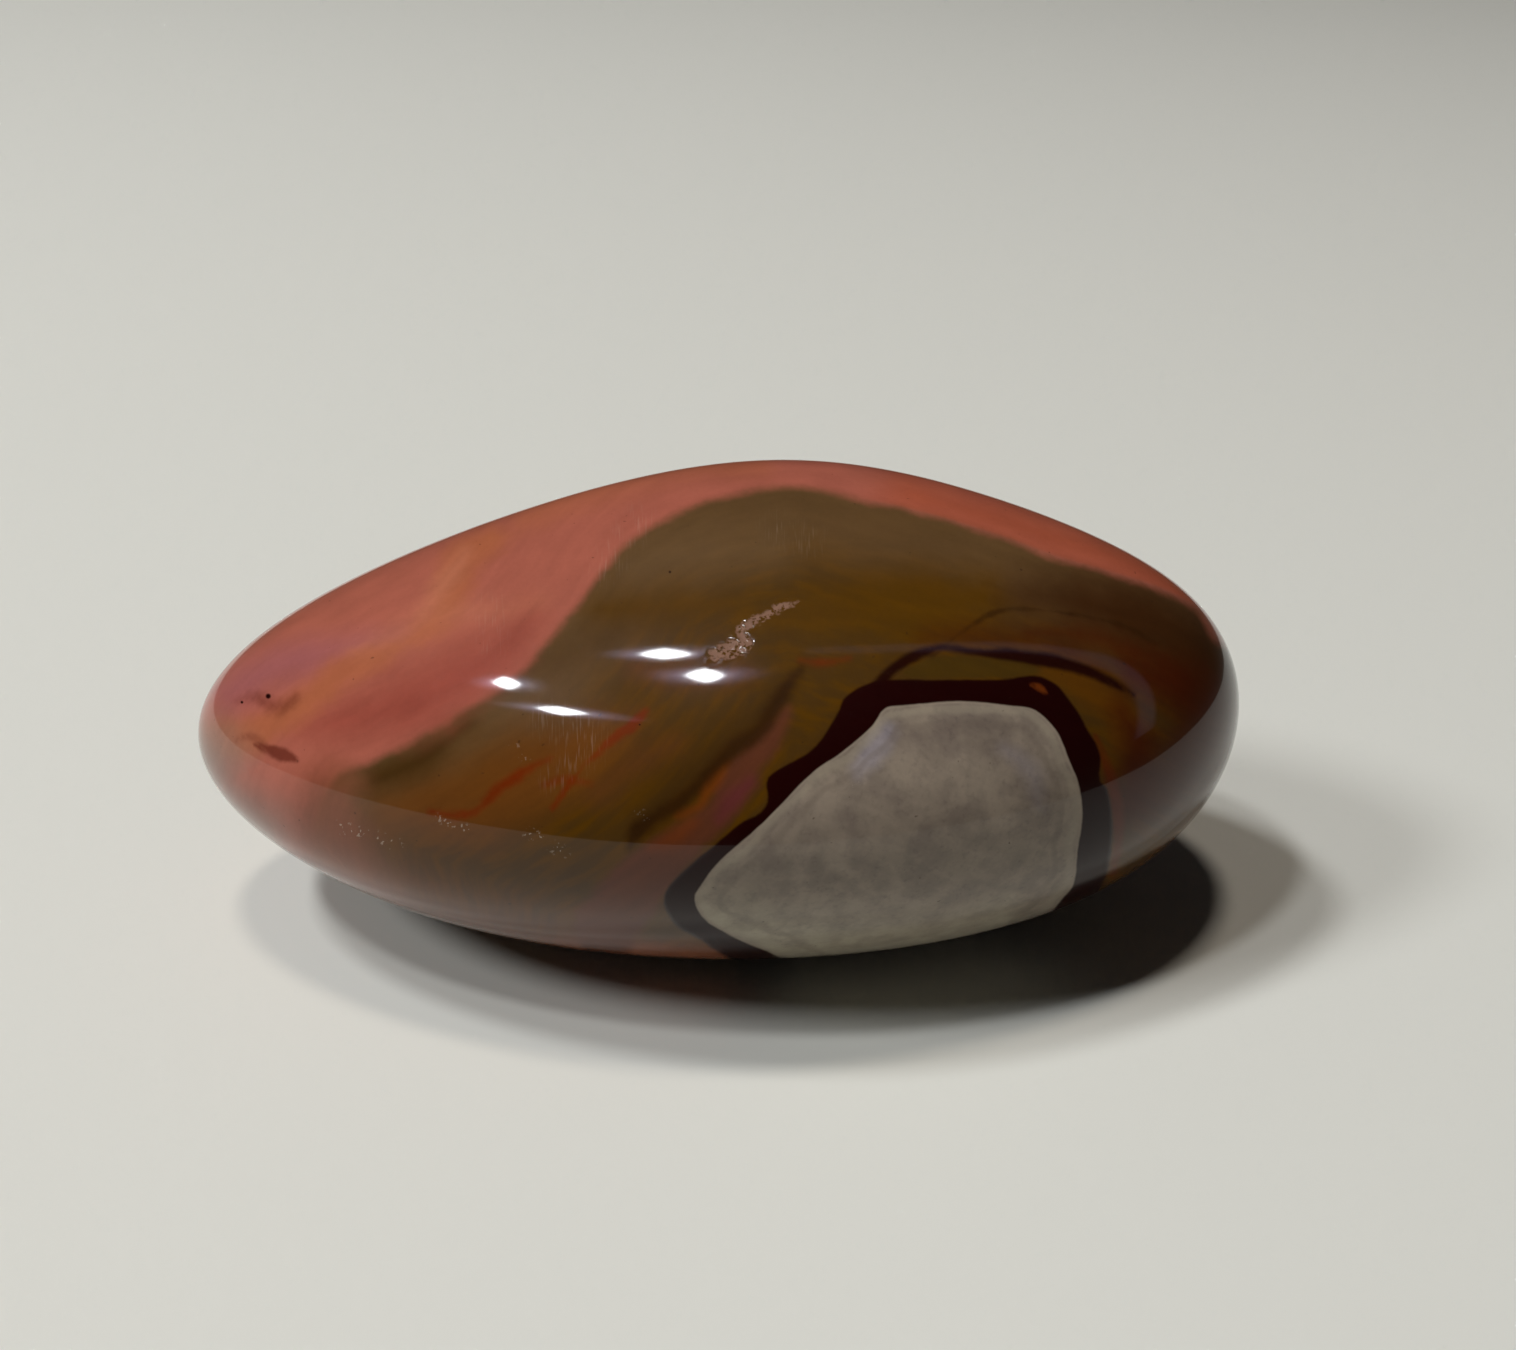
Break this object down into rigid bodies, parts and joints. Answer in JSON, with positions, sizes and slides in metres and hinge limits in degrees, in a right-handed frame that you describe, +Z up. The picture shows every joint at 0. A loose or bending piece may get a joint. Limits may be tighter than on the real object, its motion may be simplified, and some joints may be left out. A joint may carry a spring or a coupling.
{
  "type": "jasper freeform",
  "caption": "Palm-sized polished freeform of banded jasper with rounded, soft-edged ground faces, a grey eye in a dark ring, and a small flat underneath that it rests on.",
  "frame": {"origin": "on the resting surface, under the middle of the stone's bounding box", "axes": "+X along the stone towards its blunt end, -Y towards the face with the grey eye, +Z up"},
  "size_m": [0.1174, 0.0588, 0.0507],
  "materials": {
    "polished_jasper": "high polish with fine handling scratches"
  },
  "bodies": {
    "root": {"jasper_freeform": "polished_jasper"}
  },
  "joints": []
}
